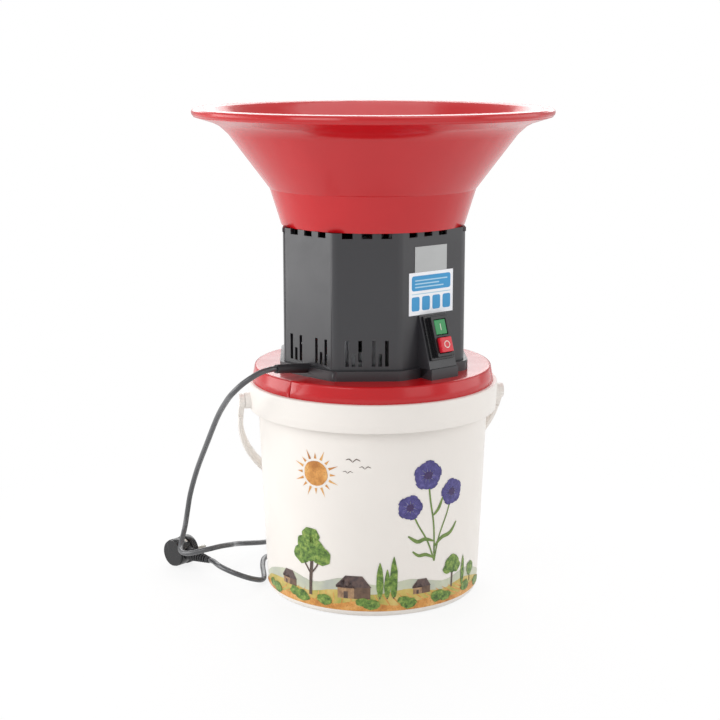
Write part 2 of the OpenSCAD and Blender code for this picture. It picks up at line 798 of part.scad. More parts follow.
module motor_base() {
    color("silver") translate([0, 0, lid_z]) difference() {
        union() {
            cylinder(r = base_r, h = base_t);
            cylinder(r = low_bearing_r + boss_wall, h = base_t + bearing_h);
            ring(cage_r, cage_r - cage_wall, stator_z - lid_z);
        }
        translate([0, 0, base_t]) cylinder(r = low_bearing_r, h = bearing_h + 1);
        translate([0, 0, -1]) cylinder(r = shaft_hole_r, h = base_t + 2);
        translate([0, 0, -1]) drop(chute_w + 2 * (chute_collar + collar_play), base_t + 2);
        // Air outlets behind the fan
        around(6, cage_r, 15) translate([-8, -9, base_t + 4])
            cube([16, 18, stator_z - lid_z - base_t - 12]);
        translate([0, 0, -1]) around(3, base_screw_ring_r, 30) cylinder(r = m4_r, h = base_t + 2);
        translate([0, 0, -1]) around(4, bolt_ring_r, 45) cylinder(r = m4_r, h = base_t + 2);
    }
}

module motor_screws() {
    color(STEEL) translate([0, 0, lid_z + base_t]) around(3, base_screw_ring_r, 30)
        screw(m4_r, base_t + 3, m4_head_r, m4_head_h);
}

module motor_cage() {
    color("silver") difference() {
        union() {
            translate([0, 0, stator_top]) ring(cage_r, cage_r - cage_wall - 2, cage_foot_h);
            translate([0, 0, stator_top]) around(4, cage_r - cage_wall / 2)
                translate([-cage_wall / 2, -cage_arm_w / 2, 0])
                    cube([cage_wall, cage_arm_w, cage_top - stator_top + cage_plate_t]);
            for (a = [0, 90]) rotate([0, 0, a]) translate([-cage_r, -cage_arm_w / 2, cage_top])
                cube([2 * cage_r, cage_arm_w, cage_plate_t]);
            translate([0, 0, cage_top - 1]) cylinder(r = top_bearing_r + boss_wall, h = bearing_h + 4);
            translate([0, 0, stator_top]) around(4, bolt_ring_r, 45) {
                cylinder(r = 2.5 * m4_r, h = cage_foot_h);
                translate([-8, -2.5 * m4_r, 0]) cube([8, 5 * m4_r, cage_foot_h]);
            }
        }
        translate([0, 0, cage_top - 2]) cylinder(r = top_bearing_r - 3, h = bearing_h + 8);
        translate([0, 0, bearing_top_z]) cylinder(r = top_bearing_r, h = bearing_h + 8);
        translate([0, 0, stator_top - 1]) around(4, bolt_ring_r, 45)
            cylinder(r = m4_r, h = cage_foot_h + 2);
    }
}

module cage_bolts() {
    color(STEEL) translate([0, 0, stator_top + cage_foot_h]) around(4, bolt_ring_r, 45)
        screw(m4_r, stator_top + cage_foot_h - lid_z, m4_head_r, m4_head_h);
}

module stator_core() {
    color([0.45, 0.46, 0.48]) translate([0, 0, stator_z]) difference() {
        cylinder(r = stator_r, h = stator_h);
        translate([0, 0, -1]) cylinder(r = armature_r + air_gap, h = stator_h + 2);
        for (a = [0, 180]) rotate([0, 0, a]) translate([0, -winding_half, -1])
            cube([winding_out, winding_half * 2, stator_h + 2]);
    }
}

module stator_coils() {
    color(COPPER) for (a = [0, 180]) rotate([0, 0, a]) {
        for (z = [stator_z - coil_end_h, stator_top])
            translate([0, 0, z]) rotate([0, 0, -winding_turn / 2]) rotate_extrude(angle = winding_turn)
                translate([winding_in, 0]) square([winding_out - winding_in - 1, coil_end_h]);
        translate([winding_in + 1, 1 - winding_half, stator_z - 1])
            cube([winding_out - winding_in - 4, winding_half * 2 - 2, stator_h + 2]);
    }
}

// Block that runs out along X
module block(w, h, length) {
    translate([0, -w / 2, -h / 2]) cube([length, w, h]);
}

module brush_holders() {
    bore_w = brush[1] + 2 * holder_play;
    bore_h = brush[2] + 2 * holder_play;
    length = holder_out - holder_in;
    color("saddlebrown") for (a = [90, 270])
        rotate([0, 0, a]) translate([holder_in, 0, brush_z]) difference() {
            block(bore_w + 2 * holder_wall, bore_h + 2 * holder_wall, length);
            translate([-1, 0, 0]) block(bore_w, bore_h, length - holder_wall);
        }
}

module brushes() {
    color([0.15, 0.15, 0.16]) for (a = [90, 270]) rotate([0, 0, a])
        translate([commutator_r + brush_gap, 0, brush_z]) block(brush[1], brush[2], brush[0]);
}

module lower_bearing() {
    color("lightgray") translate([0, 0, bearing_low_z]) ring(low_bearing_r, shaft_r + run_gap, bearing_h);
}

module upper_bearing() {
    color("lightgray") translate([0, 0, bearing_top_z])
        ring(top_bearing_r, shaft_top_r + run_gap, bearing_h);
}

module shaft() {
    shoulder = blade_z + blade_t;
    color(STEEL) {
        translate([0, 0, shoulder]) cylinder(r = shaft_r, h = bearing_top_z - 1 - shoulder);
        translate([0, 0, shoulder]) cylinder(r = shaft_top_r, h = bearing_top_z + bearing_h - shoulder);
        translate([0, 0, blade_z - washer_t - nut_h - 2])
            cylinder(r = thread_r, h = blade_t + washer_t + nut_h + 4);
    }
}

module armature_core() {
    slots = 12;
    slot_depth = 5;
    slot_w = 1.6;
    color([0.45, 0.46, 0.48]) translate([0, 0, stator_z]) difference() {
        ring(armature_r, shaft_r, stator_h);
        around(slots, armature_r) translate([-slot_depth, -slot_w / 2, -1])
            cube([slot_depth + 1, slot_w, stator_h + 2]);
    }
}

module armature_coils() {
    color(COPPER) for (z = [stator_z - coil_end_h + 1, stator_top]) translate([0, 0, z])
        ring(armature_r - 5, shaft_r, coil_end_h - 1);
}

module commutator() {
    bars = 24;
    bar_depth = 0.6;
    bar_gap = 0.5;
    color(COPPER) translate([0, 0, commutator_z]) difference() {
        ring(commutator_r, shaft_r, commutator_h);
        around(bars, commutator_r) translate([-bar_depth, -bar_gap / 2, -1])
            cube([2 * bar_depth, bar_gap, commutator_h - 2]);
    }
}

module cooling_fan() {
    vanes = 11;
    vane_t = 1.8;
    hub_r = 12;
    color("dimgray") translate([0, 0, fan_z]) {
        ring(hub_r, shaft_r, fan_h);
        translate([0, 0, fan_h - vane_t]) ring(fan_r, shaft_r, vane_t);
        around(vanes, hub_r - 1) rotate([0, 0, 12]) translate([0, -vane_t / 2, 0])
            cube([fan_r - hub_r - 2, vane_t, fan_h - 1]);
    }
}

// ---------- grinding chamber ----------

module blade() {
    color(STEEL) translate([0, 0, blade_z]) difference() {
        union() {
            intersection() {
                translate([-blade_len, -blade_w / 2, 0]) cube([blade_len * 2, blade_w, blade_t]);
                cylinder(r = blade_len, h = blade_t);
            }
            // Shorter cross arms
            rotate([0, 0, 90]) translate([-blade_len * cross_share, -blade_w / 2, 0])
                cube([2 * blade_len * cross_share, blade_w, blade_t]);
        }
        translate([0, 0, -1]) cylinder(r = thread_r, h = blade_t + 2);
    }
}

module blade_washer() {
    color(STEEL) translate([0, 0, blade_z - washer_t]) ring(washer_r, thread_r, washer_t);
}

module blade_nut() {
    color(STEEL) translate([0, 0, blade_z - washer_t - nut_h]) difference() {
        cylinder(r = nut_r, h = nut_h, $fn = 6);
        translate([0, 0, -1]) cylinder(r = thread_r, h = nut_h + 2);
    }
}

module chamber() {
    color("silver") translate([0, 0, chamber_z]) difference() {
        union() {
            cylinder(r = chamber_r, h = chamber_h);
            cylinder(r = sieve_r, h = chamber_wall);
        }
        translate([0, 0, -1]) cylinder(r = chamber_r - chamber_wall, h = chamber_h - chamber_wall + 1);
        cylinder(r = shaft_hole_r, h = chamber_h + 1);
        drop(feed_w, chamber_h + 1);
        translate([0, 0, -1]) around(4, stud_ring_r) cylinder(r = stud_r, h = chamber_wall + 2);
    }
}

module sieve() {
    color("lightgray") translate([0, 0, chamber_z - sieve_t]) difference() {
        cylinder(r = sieve_r, h = sieve_t);
        for (k = [1 : sieve_rings])
            translate([0, 0, -1]) around(6 * k, sieve_pitch * k) cylinder(r = sieve_hole_r, h = sieve_t + 2);
        translate([0, 0, -1]) around(4, stud_ring_r) cylinder(r = stud_r, h = sieve_t + 2);
    }
}

module chamber_studs() {
    color(STEEL) around(4, stud_ring_r) {
        translate([0, 0, lid_z]) cylinder(r = stud_head_r, h = 3, $fn = 6);
        translate([0, 0, stud_low]) cylinder(r = stud_r, h = lid_z + 1 - stud_low);
    }
}

module wing_nuts() {
    color(STEEL) translate([0, 0, chamber_z - sieve_t - wing_h]) around(4, stud_ring_r) difference() {
        union() {
            cylinder(r = wing_hub_r, h = wing_h);
            translate([-wing_t / 2, -wing_w / 2, -4]) cube([wing_t, wing_w, wing_h + 1]);
        }
        translate([0, 0, -5]) cylinder(r = stud_r, h = wing_h + 6);
    }
}

// ---------- switch, labels and wiring ----------

module switch_body() {
    collar_w = button_w + 2 * collar_rim + 2 * button_gap;
    collar_h = button_pitch + button_h + 2 * collar_rim + 2 * button_gap;
    color([0.08, 0.08, 0.09]) on_switch() difference() {
        union() {
            slab(plate_w, bezel_t, plate_h, -bezel_t);
            translate([button_shift, 0, 0]) slab(collar_w, collar_t + 1, collar_h, -bezel_t - collar_t);
            slab(plate_w - 2 * plate_edge, body_depth + 1, plate_h - 2 * plate_edge, -1);
        }
        for (s = [-1, 1]) translate([button_shift, 0, s * button_pitch / 2]) {
            slab(button_w + 2 * button_gap, button_depth + 20, button_h + 2 * button_gap, -20);
            slab(stem_w + 2, body_depth - 10, stem_w + 2, 0);
        }
    }
}

// Push button: its front stands out of the collar by out
module button(out, s) {
    front = -bezel_t - collar_t - out;
    on_switch() translate([button_shift, 0, s * button_pitch / 2]) {
        slab(button_w, button_depth - button_travel - 1 - front, button_h, front);
        slab(stem_w, button_depth, stem_w, button_depth - button_travel - 2);
    }
}

module on_button() {
    color([0.1, 0.55, 0.25]) button(on_button_out, 1);
}

module off_button() {
    color([0.85, 0.1, 0.15]) button(off_button_out, -1);
}

module label(w, h, t, u, low) {
    on_side(switch_dir, switch_side) translate([u - w / 2, -t, lid_z + low]) cube([w, t, h]);
}

module rating_plate() {
    color("silver") label(rating_w, rating_h, rating_t, rating_mid, rating_low);
}

module notice_sticker() {
    color("white") label(sticker_w, sticker_h, sticker_t, label_mid, sticker_low);
}

module capacitor() {
    color([0.9, 0.9, 0.86]) translate([capacitor_at[0], capacitor_at[1], lid_z])
        cylinder(r = capacitor_r, h = capacitor_len);
}

module capacitor_clip() {
    reach = housing_half - housing_wall + capacitor_at[0];
    color(STEEL) translate([capacitor_at[0], capacitor_at[1], lid_z + clip_z]) {
        ring(capacitor_r + clip_t, capacitor_r, clip_h);
        translate([-reach, -clip_h / 2, 0]) cube([reach - capacitor_r - clip_t / 2, clip_h, clip_t]);
    }
}

module terminal_block() {
    color("ivory") rotate([0, 0, left_dir]) translate([terminal_at[0], terminal_at[1], lid_z])
        difference() {
        cube(terminal);
        for (i = [1 : 3]) translate([terminal[0] * i / 4, terminal[1] / 2, terminal[2] / 2])
            cylinder(r = 2.6, h = terminal[2]);
    }
}

module strain_relief() {
    lip_z = -housing_wall - gland_seat;
    color([0.1, 0.1, 0.11]) translate(gland_root) rotate([0, 0, left_dir]) rotate([90 - gland_tilt, 0, 0])
        rotate_extrude() polygon([[0, -gland_tail], [gland_r + gland_lip, -gland_tail],
            [gland_r + gland_lip, lip_z], [gland_r, lip_z], [gland_r, gland_straight],
            [gland_tip_r + 0.3, gland_len - 3], [gland_tip_r, gland_len], [0, gland_len]]);
}

// ---------- mains lead ----------

module cord_lead() {
    p = route(concat([gland_tip, gland_tip + gland_dir * cord_d], LEAD_PTS, [coil_start]), ring_step);
    color(CORD) tube(p, gland_dir, coil_in_dir, cord_d / 2, cord_sides);
}

module cord_coil() {
    color(CORD) tube(concat([coil_start], COIL, [coil_end]), coil_in_dir, coil_out_dir, cord_d / 2, 6);
}

module cord_tail() {
    p = route(concat([coil_end, coil_end + coil_out_dir * 2 * cord_d], TAIL_PTS, [boot_end]), ring_step);
    color(CORD) tube(p, coil_out_dir, -boot_dir, cord_d / 2, cord_sides);
}

module along(dir) {
    rotate([0, 0, atan2(dir[1], dir[0])]) rotate([0, 90, 0]) children();
}

module plug_boot() {
    rib_count = 7;
    collar_h = 9;
    rib_step = (boot_len - collar_h - 1) / rib_count;
    end_r = cord_d / 2 + 0.8;
    taper = (boot_r - 0.7 - end_r) / rib_count;
    color(CORD) translate(plug_c) along(boot_dir) translate([0, 0, plug_r - plug_seat]) rotate_extrude()
        polygon(concat([[0, 0], [boot_r, 0], [boot_r, collar_h - 1]],
            [for (i = [0 : rib_count - 1]) let (z = collar_h + i * rib_step, r = boot_r - 0.7 - taper * i)
                each [[r - rib_depth, z], [r - rib_depth, z + rib_step * 0.4], [r, z + rib_step * 0.5],
                    [r, z + rib_step * 0.9]]],
            [[end_r, boot_len], [end_r, boot_len + plug_seat], [0, boot_len + plug_seat]]));
}

module plug_body() {
    color([0.15, 0.15, 0.16]) difference() {
        translate(plug_c) along(plug_dir) translate([0, 0, -plug_len / 2]) {
            cylinder(r = plug_r - 1.5, h = plug_len);
            translate([0, 0, plug_len - plug_band]) cylinder(r = plug_r, h = plug_band);
            translate([0, 0, 3]) cylinder(r = plug_r - 0.6, h = 12);
        }
        translate(plug_c) along(boot_dir) translate([0, 0, plug_r - plug_seat]) cylinder(r = boot_r, h = 10);
    }
}

module plug_pins() {
    color(STEEL) translate(plug_c) along(plug_dir) for (s = [-1, 1])
        translate([0, s * plug_pin_pitch / 2, plug_len / 2]) cylinder(r = plug_pin_r, h = plug_pin_len);
}

bucket();
bail();
lid();
lid_gasket();
housing();
hopper();
feed_gate();
gate_screw();
feed_chute();
hopper_screws();
housing_screws();
motor_base();
motor_screws();
motor_cage();
cage_bolts();
stator_core();
stator_coils();
brush_holders();
brushes();
lower_bearing();
upper_bearing();
shaft();
armature_core();
armature_coils();
commutator();
cooling_fan();
blade();
blade_washer();
blade_nut();
chamber();
sieve();
chamber_studs();
wing_nuts();
switch_body();
on_button();
off_button();
rating_plate();
notice_sticker();
capacitor();
capacitor_clip();
terminal_block();
strain_relief();
cord_lead();
cord_coil();
cord_tail();
plug_boot();
plug_body();
plug_pins();
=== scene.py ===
import math

import bmesh
import bpy
from mathutils import Matrix, Vector, noise


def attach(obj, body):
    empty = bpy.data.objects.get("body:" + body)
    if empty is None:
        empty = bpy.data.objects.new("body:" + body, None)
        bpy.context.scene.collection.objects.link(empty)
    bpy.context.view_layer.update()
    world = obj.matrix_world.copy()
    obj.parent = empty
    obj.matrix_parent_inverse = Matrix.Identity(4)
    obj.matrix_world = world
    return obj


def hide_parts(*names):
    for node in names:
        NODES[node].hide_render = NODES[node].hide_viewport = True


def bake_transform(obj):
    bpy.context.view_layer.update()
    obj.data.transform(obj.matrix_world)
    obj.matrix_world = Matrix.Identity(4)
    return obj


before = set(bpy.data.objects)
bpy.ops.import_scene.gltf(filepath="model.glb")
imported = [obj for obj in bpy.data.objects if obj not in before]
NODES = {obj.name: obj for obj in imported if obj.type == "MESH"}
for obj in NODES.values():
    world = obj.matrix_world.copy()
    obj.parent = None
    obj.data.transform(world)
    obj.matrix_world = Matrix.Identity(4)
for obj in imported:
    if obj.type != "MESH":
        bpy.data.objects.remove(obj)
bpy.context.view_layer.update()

MM = 0.001


# ---------- node materials ----------

def linear(rgb):
    """An sRGB colour of 0 to 255 as linear light with alpha."""
    return tuple((c / 255 / 12.92) if c / 255 <= 0.04045 else ((c / 255 + 0.055) / 1.055) ** 2.4
                 for c in rgb) + (1.0,)


class Finish:
    """A material whose colour, roughness and bump come from procedural nodes."""

    def __init__(self, name, coords="Object", **uniform):
        self.material = bpy.data.materials.new(name)
        self.material.use_nodes = True
        self.tree = self.material.node_tree
        self.shader = self.tree.nodes["Principled BSDF"]
        self.place = self.add("TexCoord").outputs[coords]
        self.normal = None
        for socket, value in uniform.items():
            self.shader.inputs[socket.replace("_", " ")].default_value = value

    def add(self, kind, inputs=None, **settings):
        node = self.tree.nodes.new("ShaderNode" + kind)
        for key, value in settings.items():
            setattr(node, key, value)
        for key, value in (inputs or {}).items():
            if isinstance(value, bpy.types.NodeSocket):
                self.tree.links.new(value, node.inputs[key])
            else:
                node.inputs[key].default_value = value
        return node

    def stretched(self, scale):
        return self.add("Mapping", {"Vector": self.place, "Scale": scale}).outputs["Vector"]

    def noise(self, scale, detail=2.0, stretch=None, rough=0.5):
        place = self.stretched(stretch) if stretch else self.place
        return self.add("TexNoise", {"Vector": place, "Scale": scale, "Detail": detail,
                                     "Roughness": rough}).outputs["Fac"]

    def cells(self, scale, stretch=None):
        place = self.stretched(stretch) if stretch else self.place
        return self.add("TexVoronoi", {"Vector": place, "Scale": scale}).outputs["Distance"]

    def math(self, operation, a, b=0.0):
        node = self.add("Math", {0: a, 1: b}, operation=operation)
        return node.outputs[0]

    def ramp(self, value, *stops):
        node = self.add("ValToRGB", {"Fac": value})
        elements = node.color_ramp.elements
        while len(elements) < len(stops):
            elements.new(0.5)
        for element, (at, colour) in zip(elements, stops):
            element.position = at
            element.color = colour
        return node.outputs["Color"]

    def range(self, value, low, high, from_low=0.3, from_high=0.7):
        return self.add("MapRange", {"Value": value, "From Min": from_low, "From Max": from_high,
                                     "To Min": low, "To Max": high}).outputs["Result"]

    def mix(self, factor, a, b):
        node = self.add("Mix", {"Factor": factor}, data_type="RGBA")
        for socket, value in ((node.inputs[6], a), (node.inputs[7], b)):
            if isinstance(value, bpy.types.NodeSocket):
                self.tree.links.new(value, socket)
            else:
                socket.default_value = value
        return node.outputs[2]

    def colour(self, socket):
        self.tree.links.new(socket, self.shader.inputs["Base Color"])
        return self

    def roughness(self, socket):
        self.tree.links.new(socket, self.shader.inputs["Roughness"])
        return self

    def bump(self, height, depth, strength=1.0):
        """depth is in metres."""
        inputs = {"Height": height, "Distance": depth, "Strength": strength}
        if self.normal:
            inputs["Normal"] = self.normal
        self.normal = self.add("Bump", inputs).outputs["Normal"]
        self.tree.links.new(self.normal, self.shader.inputs["Normal"])
        return self


def shade(colour, factor):
    """A linear colour made darker or lighter."""
    return tuple(min(1.0, c * factor) for c in colour[:3]) + (1.0,)


def moulded(name, rgb, rough, grain=0.00002, grain_scale=500, wave=0.0, spread=0.06, **uniform):
    """Moulded plastic: slow colour drift, smudged gloss, fine grain and, for gloss, a slow wave."""
    f = Finish(name, IOR=1.5, **uniform)
    base = linear(rgb)
    drift = f.noise(9, 3)
    f.colour(f.ramp(drift, (0.3, shade(base, 1 - spread)), (0.7, shade(base, 1 + spread))))
    smudge = f.math("ADD", f.math("MULTIPLY", f.noise(28, 4), 0.7), f.math("MULTIPLY", f.noise(260, 2), 0.3))
    f.roughness(f.range(smudge, rough * 0.82, rough * 1.2))
    if wave:
        f.bump(f.noise(22, 1), wave)
    f.bump(f.noise(grain_scale, 2), grain)
    return f.material


def metal(name, rgb, rough, stretch, spread=0.1, grain=0.000012):
    """Worked metal: marks drawn out one way over a mottled tone."""
    f = Finish(name, Metallic=1.0)
    base = linear(rgb)
    marks = f.noise(40, 3, stretch)
    tone = f.math("ADD", f.math("MULTIPLY", marks, 0.6), f.math("MULTIPLY", f.noise(30, 4), 0.4))
    f.colour(f.ramp(tone, (0.3, shade(base, 1 - spread)), (0.7, shade(base, 1 + spread))))
    f.roughness(f.range(marks, rough * 0.75, rough * 1.3))
    f.bump(marks, grain)
    return f.material


# One gloss for all the bucket's inks
INK_ROUGH = 0.42


def printed(name, stops, scale, fleck=None):
    """Ink on the bucket: a few tones that run into each other, with flecks where asked."""
    f = Finish(name, IOR=1.48)
    wash = f.ramp(f.noise(scale, 4, rough=0.62), *[(at, linear(rgb)) for at, rgb in stops])
    if fleck:
        fleck_scale, fleck_rgb, fleck_to = fleck
        spots = f.range(f.cells(fleck_scale), 1.0, 0.0, 0.1, fleck_to)
        wash = f.mix(f.math("MULTIPLY", spots, f.noise(scale * 1.7, 2)), wash, linear(fleck_rgb))
    f.colour(wash)
    f.roughness(f.range(f.noise(200, 2), INK_ROUGH * 0.9, INK_ROUGH * 1.1))
    return f.material


def laminated(name, rgb):
    """Stacked sheet: fine dark lines, one above the other."""
    f = Finish(name, Metallic=0.85)
    base = linear(rgb)
    waves = f.add("TexWave", {"Vector": f.place, "Scale": 160, "Distortion": 0.4, "Detail": 1.0},
                  bands_direction="Z").outputs["Fac"]
    f.colour(f.ramp(waves, (0.1, shade(base, 0.45)), (0.35, base), (0.9, shade(base, 1.15))))
    f.roughness(f.range(f.noise(90, 3), 0.35, 0.6))
    f.bump(waves, 0.0001)
    return f.material


def wound(name, rgb):
    """Wound wire: small bright cells over a darker ground."""
    f = Finish(name, Metallic=0.9)
    base = linear(rgb)
    turns = f.cells(900, stretch=(1, 1, 0.35))
    f.colour(f.ramp(turns, (0.05, shade(base, 1.25)), (0.6, shade(base, 0.5))))
    f.roughness(f.range(f.noise(60, 3), 0.25, 0.45))
    f.bump(turns, 0.0003)
    return f.material


def label_film(name, rgb):
    """Printed film, slightly uneven."""
    f = Finish(name, IOR=1.46)
    base = linear(rgb)
    f.colour(f.ramp(f.noise(30, 3), (0.3, shade(base, 0.95)), (0.7, shade(base, 1.03))))
    f.roughness(f.range(f.noise(45, 3), 0.32, 0.5))
    f.bump(f.noise(35, 1), 0.0001)
    return f.material


MATERIALS = {
    "cream_plastic": moulded("cream_plastic", (234, 229, 223), 0.42, 0.00002, 420, 0.0002, 0.02),
    "red_plastic": moulded("red_plastic", (190, 17, 25), 0.2, 0.000012, 380, 0.0003, 0.05,
                           Specular_IOR_Level=0.55),
    "charcoal_plastic": moulded("charcoal_plastic", (40, 40, 44), 0.38, 0.00004, 700, 0.0001, 0.06,
                                Specular_IOR_Level=0.75),
    "black_plastic": moulded("black_plastic", (22, 22, 24), 0.27, 0.00002, 600, 0.0001, 0.08),
    "brown_plastic": moulded("brown_plastic", (104, 70, 50), 0.4, 0.00003, 500, 0.0, 0.12),
    "white_plastic": moulded("white_plastic", (226, 222, 212), 0.4, 0.00003, 500, 0.0, 0.04),
    "green_button": moulded("green_button", (28, 140, 74), 0.22, 0.00001, 500, 0.0001, 0.07),
    "red_button": moulded("red_button", (208, 34, 50), 0.22, 0.00001, 500, 0.0001, 0.07),
    "seal_rubber": moulded("seal_rubber", (96, 96, 98), 0.7, 0.00005, 600, 0.0, 0.08),
    "black_rubber": moulded("black_rubber", (38, 38, 41), 0.55, 0.00004, 500, 0.0, 0.1),
    "white_label": label_film("white_label", (240, 243, 247)),
    "plate_alloy": metal("plate_alloy", (172, 173, 173), 0.42, (1, 1, 24), 0.06),
    "steel": metal("steel", (196, 198, 202), 0.26, (1, 1, 16), 0.1),
    "cast_alloy": metal("cast_alloy", (184, 186, 190), 0.46, (1.6, 1.6, 1.6), 0.12, 0.00006),
    "lamination": laminated("lamination", (150, 152, 156)),
    "copper": wound("copper", (196, 112, 62)),
    "carbon": moulded("carbon", (44, 44, 47), 0.62, 0.00005, 900, 0.0, 0.15),
    "brass_pins": metal("brass_pins", (178, 176, 170), 0.24, (8, 8, 1), 0.06),
}


def sheath():
    """Lead sheath: it runs along the mesh's own map, so it stays put when the lead bends."""
    f = Finish("cord_sheath", "UV", IOR=1.5, Specular_IOR_Level=0.9)
    base = linear((66, 67, 70))
    f.colour(f.ramp(f.noise(18, 3, (1, 3, 1)), (0.3, shade(base, 0.88)), (0.7, shade(base, 1.15))))
    f.roughness(f.range(f.noise(60, 3, (1, 3, 1)), 0.26, 0.4))
    f.bump(f.noise(120, 2, (1, 6, 1)), 0.00004)
    return f.material


MATERIALS["cord_sheath"] = sheath()


# ---------- mesh helpers ----------

def add_mesh(name, verts, faces, material, smooth=True):
    """A new object; verts are in metres."""
    mesh = bpy.data.meshes.new(name)
    mesh.from_pydata([tuple(v) for v in verts], [], faces)
    mesh.materials.append(material)
    mesh.validate()
    if smooth:
        mesh.shade_smooth()
    piece = bpy.data.objects.new(name, mesh)
    bpy.context.scene.collection.objects.link(piece)
    return piece


def circle(r, steps):
    """Points round a circle about the origin."""
    turns = [2 * math.pi * i / steps for i in range(steps)]
    return [(r * math.cos(turn), r * math.sin(turn)) for turn in turns]


def flat_shapes(shapes, slice_to=0.0):
    """Vertices and faces of flat outlines, cut into upright strips so that they can bend round a curve."""
    bm = bmesh.new()
    for shape in shapes:
        verts = [bm.verts.new((x, y, 0)) for x, y in shape]
        bm.faces.new(verts)
    bmesh.ops.triangulate(bm, faces=bm.faces[:], ngon_method="EAR_CLIP")
    if slice_to:
        xs = [v.co.x for v in bm.verts]
        at = math.floor(min(xs) / slice_to) * slice_to
        while at < max(xs):
            bmesh.ops.bisect_plane(bm, geom=bm.verts[:] + bm.edges[:] + bm.faces[:], dist=1e-6,
                                   plane_co=(at, 0, 0), plane_no=(1, 0, 0))
            at += slice_to
    bm.verts.index_update()
    bmesh.ops.recalc_face_normals(bm, faces=bm.faces[:])
    for face in bm.faces:
        if face.normal.z < 0:
            face.normal_flip()
    verts = [v.co.copy() for v in bm.verts]
    faces = [[v.index for v in f.verts] for f in bm.faces]
    bm.free()
    return verts, faces


def finish_piece(piece, body):
    """Tells the frame which body a piece rides on."""
    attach(piece, body)
    return piece


# ---------- camera, lights and floor ----------

def set_camera():
    data = bpy.data.cameras.new("camera")
    data.sensor_width = 36
    data.lens = 77.265
    camera = bpy.data.objects.new("camera", data)
    camera.location = (-0.0722, -1.8959, 0.6848)
    camera.rotation_euler = (math.radians(90 - 11.7515), 0, math.radians(-1.7))
    bpy.context.scene.collection.objects.link(camera)
    bpy.context.scene.camera = camera


def softbox(name, at, aim, size, power):
    data = bpy.data.lights.new(name, "AREA")
    data.shape = "RECTANGLE"
    data.size, data.size_y = size
    data.energy = power
    lamp = bpy.data.objects.new(name, data)
    lamp.location = at
    lamp.visible_camera = False
    lamp.rotation_euler = (Vector(aim) - Vector(at)).to_track_quat("-Z", "Y").to_euler()
    bpy.context.scene.collection.objects.link(lamp)


def set_world():
    """A white surround for the camera and for reflections, and a softer one for the light that it gives."""
    world = bpy.data.worlds.new("studio")
    world.use_nodes = True
    tree = world.node_tree
    path = tree.nodes.new("ShaderNodeLightPath")
    seen = tree.nodes.new("ShaderNodeMath")
    seen.operation = "MAXIMUM"
    tree.links.new(path.outputs["Is Camera Ray"], seen.inputs[0])
    tree.links.new(path.outputs["Is Transmission Ray"], seen.inputs[1])
    strength = tree.nodes.new("ShaderNodeMapRange")
    strength.inputs["To Min"].default_value = 0.62
    strength.inputs["To Max"].default_value = 1.0
    tree.links.new(seen.outputs[0], strength.inputs["Value"])
    tree.links.new(strength.outputs["Result"], tree.nodes["Background"].inputs["Strength"])
    tree.nodes["Background"].inputs["Color"].default_value = (1, 1, 1, 1)
    bpy.context.scene.world = world


def set_floor():
    """A pale floor that turns to plain white for the camera, away from the mill."""
    radius, drop = 4, 0.0002
    f = Finish("floor", Roughness=0.6)
    tree = f.tree
    f.colour(f.ramp(f.noise(3, 3), (0.3, (0.86, 0.86, 0.86, 1)), (0.7, (0.9, 0.9, 0.9, 1))))
    distance = f.add("VectorMath", {0: f.place}, operation="LENGTH").outputs["Value"]
    far = f.range(distance, 0.84, 1.0, 0.22, 0.7)
    path = f.add("LightPath")
    seen = f.math("MAXIMUM", path.outputs["Is Camera Ray"],
                  f.math("MAXIMUM", path.outputs["Is Glossy Ray"], path.outputs["Is Transmission Ray"]))
    white = f.add("Emission", {"Color": (1, 1, 1, 1), "Strength": 1.0})
    blend = f.add("MixShader", {0: f.math("MULTIPLY", seen, far), 1: f.shader.outputs[0],
                                2: white.outputs[0]})
    tree.links.new(blend.outputs[0], tree.nodes["Material Output"].inputs["Surface"])
    rim = [Vector((x, y, -drop)) for x, y in circle(radius, 64)]
    add_mesh("floor", rim, [list(range(len(rim)))], f.material, smooth=False)


set_camera()
softbox("key", (-1.5, -1.9, 1.9), (0, 0, 0.3), (1.4, 1.4), 18)
softbox("left", (-2.3, 0.1, 0.6), (0, 0, 0.3), (2.2, 1.3), 27)
softbox("right", (2.3, 0.2, 0.9), (0, 0, 0.3), (2.0, 1.6), 13)
softbox("fill", (1.6, -1.9, 1.0), (0, 0, 0.3), (1.2, 1.2), 4)
softbox("back", (0, 2.7, 1.45), (0, 0, 0.4), (3.2, 1.2), 34)
softbox("top", (0.2, 0.3, 2.4), (0, 0, 0.5), (1.6, 1.2), 10)
set_world()
set_floor()
bpy.context.scene.view_settings.view_transform = "Standard"


# ---------- mains lead ----------

# In millimetres: the solids' own sizes and route, so that the lead runs where they do
CORD_R = 3.4
# The strain relief: where it leaves the head, its length and its tilt above level
GLAND_ROOT = Vector((-80.610, -79.196, 297.5))
GLAND_LEN = 54
GLAND_TILT = math.radians(7.3)
GLAND_DIR = Vector((-math.sqrt(0.5) * math.cos(GLAND_TILT), -math.sqrt(0.5) * math.cos(GLAND_TILT),
                    math.sin(GLAND_TILT)))
GLAND_TIP = GLAND_ROOT + GLAND_LEN * GLAND_DIR
